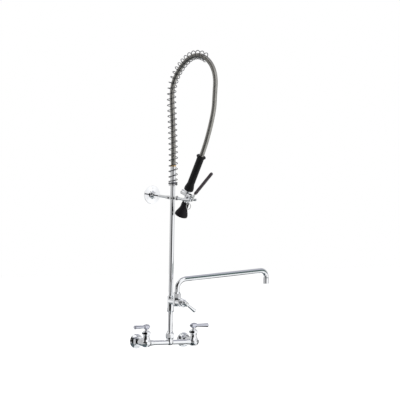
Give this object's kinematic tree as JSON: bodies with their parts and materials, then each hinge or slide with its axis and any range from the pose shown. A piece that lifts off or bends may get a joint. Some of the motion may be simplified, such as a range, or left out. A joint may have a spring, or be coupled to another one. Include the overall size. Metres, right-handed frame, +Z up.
{
  "type": "pre-rinse faucet",
  "caption": "Wall-mounted pre-rinse faucet with lever valves, tall riser, sprung overhead hose, squeeze sprayer on a wall-braced hook, and an add-on valve with long swing spout.",
  "frame": {"origin": "on the wall plane, midway between the two supply inlets, at the height of the crossbar's axis", "axes": "+X along the wall, to the right for someone who faces it; +Y into the wall; +Z up along the riser"},
  "size_m": [0.5557, 0.4014, 1.1392],
  "materials": {
    "chrome_plate": "polished chrome plate on brass",
    "polished_tube": "polished chrome plate on brass tube",
    "valve_brass": "plain machined brass",
    "ferrule_brass": "bright brass",
    "stainless_hose": "flexible stainless steel cover, satin",
    "spring_steel": "polished stainless spring wire",
    "stainless": "plain stainless steel",
    "black_grip": "black heat-resistant moulding, satin",
    "black_rubber": "black rubber, satin",
    "seal_rubber": "black seal rubber",
    "washer_fibre": "red-brown fibre washer",
    "bearing_plastic": "white slide washer",
    "hose_lining": "reinforced rubber lining",
    "grey_plastic": "grey moulding"
  },
  "bodies": {
    "fixed_base": {"wall_flanges": "chrome_plate", "supply_arms": "chrome_plate", "coupling_nuts": "chrome_plate", "coupling_gaskets": "washer_fibre", "left_valve_body": "chrome_plate", "right_valve_body": "chrome_plate", "crossbar": "chrome_plate", "base_bonnets": "chrome_plate", "base_cartridges": "valve_brass", "riser_gasket": "washer_fibre", "riser_nut": "chrome_plate", "lower_riser": "polished_tube", "upper_riser": "polished_tube", "addon_body": "chrome_plate", "addon_cartridge": "valve_brass", "addon_bonnet": "chrome_plate", "spout_nut": "chrome_plate", "spout_bearing": "bearing_plastic", "spout_seals": "seal_rubber", "riser_clamp_left": "chrome_plate", "riser_clamp_right": "chrome_plate", "clamp_screws": "stainless", "bracket_rod": "chrome_plate", "hook": "chrome_plate", "hook_screw": "stainless", "hose_sleeve": "chrome_plate", "hose_ferrule": "ferrule_brass", "hose_cover": "stainless_hose", "hose_liner": "hose_lining", "support_spring": "spring_steel"},
    "left_handle": {"left_spindle": "valve_brass", "left_lever": "chrome_plate", "left_lever_screw": "stainless"},
    "right_handle": {"right_spindle": "valve_brass", "right_lever": "chrome_plate", "right_lever_screw": "stainless"},
    "addon_handle": {"addon_spindle": "valve_brass", "addon_lever": "chrome_plate", "addon_lever_screw": "stainless"},
    "spout": {"swing_spout": "polished_tube", "aerator_shell": "chrome_plate", "aerator_insert": "grey_plastic"},
    "wall_plate": {"bracket_flange": "chrome_plate", "flange_set_screw": "stainless"},
    "sprayer": {"spray_body": "chrome_plate", "body_end_cap": "chrome_plate", "plunger_guide": "chrome_plate", "pivot_pin": "stainless", "grip": "black_grip", "grip_tube": "stainless", "grip_collar": "black_rubber", "diffuser": "grey_plastic", "bell": "black_rubber", "spray_face": "stainless", "face_screw": "stainless", "plunger_spring": "spring_steel"},
    "squeeze_lever": {"lever_arm": "stainless", "lever_cover": "black_grip"},
    "plunger_stem": {"plunger": "stainless"},
    "hanging_ring": {"hold_ring": "stainless"}
  },
  "joints": [
    {"name": "left_handle_turn", "type": "hinge", "parent": "fixed_base", "child": "left_handle", "pos_m": [-0.1016, -0.08, 0.062], "axis": [0, 0, 1], "range_deg": [0, 90]},
    {"name": "right_handle_turn", "type": "hinge", "parent": "fixed_base", "child": "right_handle", "pos_m": [0.1016, -0.08, 0.062], "axis": [0, 0, -1], "range_deg": [0, 90]},
    {"name": "addon_handle_turn", "type": "hinge", "parent": "fixed_base", "child": "addon_handle", "pos_m": [0, -0.198, 0.158], "axis": [0, -1, 0], "range_deg": [0, 90]},
    {"name": "spout_swing", "type": "hinge", "parent": "fixed_base", "child": "spout", "pos_m": [0, -0.1295, 0.187], "axis": [0, 0, 1], "range_deg": [-195, 15]},
    {"name": "wall_plate_slide", "type": "slide", "parent": "fixed_base", "child": "wall_plate", "axis": [0, -1, 0], "range_m": [0, 0.085]},
    {"name": "sprayer_unhook", "type": "slide", "parent": "fixed_base", "child": "sprayer", "axis": [0.2588, -0.9659, 0], "range_m": [0, 0.07], "deforming": ["hose_cover", "hose_liner", "support_spring"]},
    {"name": "lever_squeeze", "type": "hinge", "parent": "sprayer", "child": "squeeze_lever", "pos_m": [0.01771, -0.19111, 0.54568], "axis": [-0.9659, -0.2588, 0], "range_deg": [0, 18], "stiffness_Nm_per_rad": 1.2, "springref_deg": -5.73},
    {"name": "plunger_press", "type": "slide", "parent": "sprayer", "child": "plunger_stem", "axis": [-0.2453, 0.9155, 0.319], "range_m": [0, 0.006], "deforming": ["plunger_spring"]},
    {"name": "ring_swing", "type": "hinge", "parent": "sprayer", "child": "hanging_ring", "pos_m": [0.01467, -0.17976, 0.53489], "axis": [-0.9659, -0.2588, 0], "range_deg": [-5, 75]}
  ],
  "couplings": [
    {"joint": "plunger_press", "follows": "lever_squeeze", "m_per_rad": 0.0152}
  ]
}
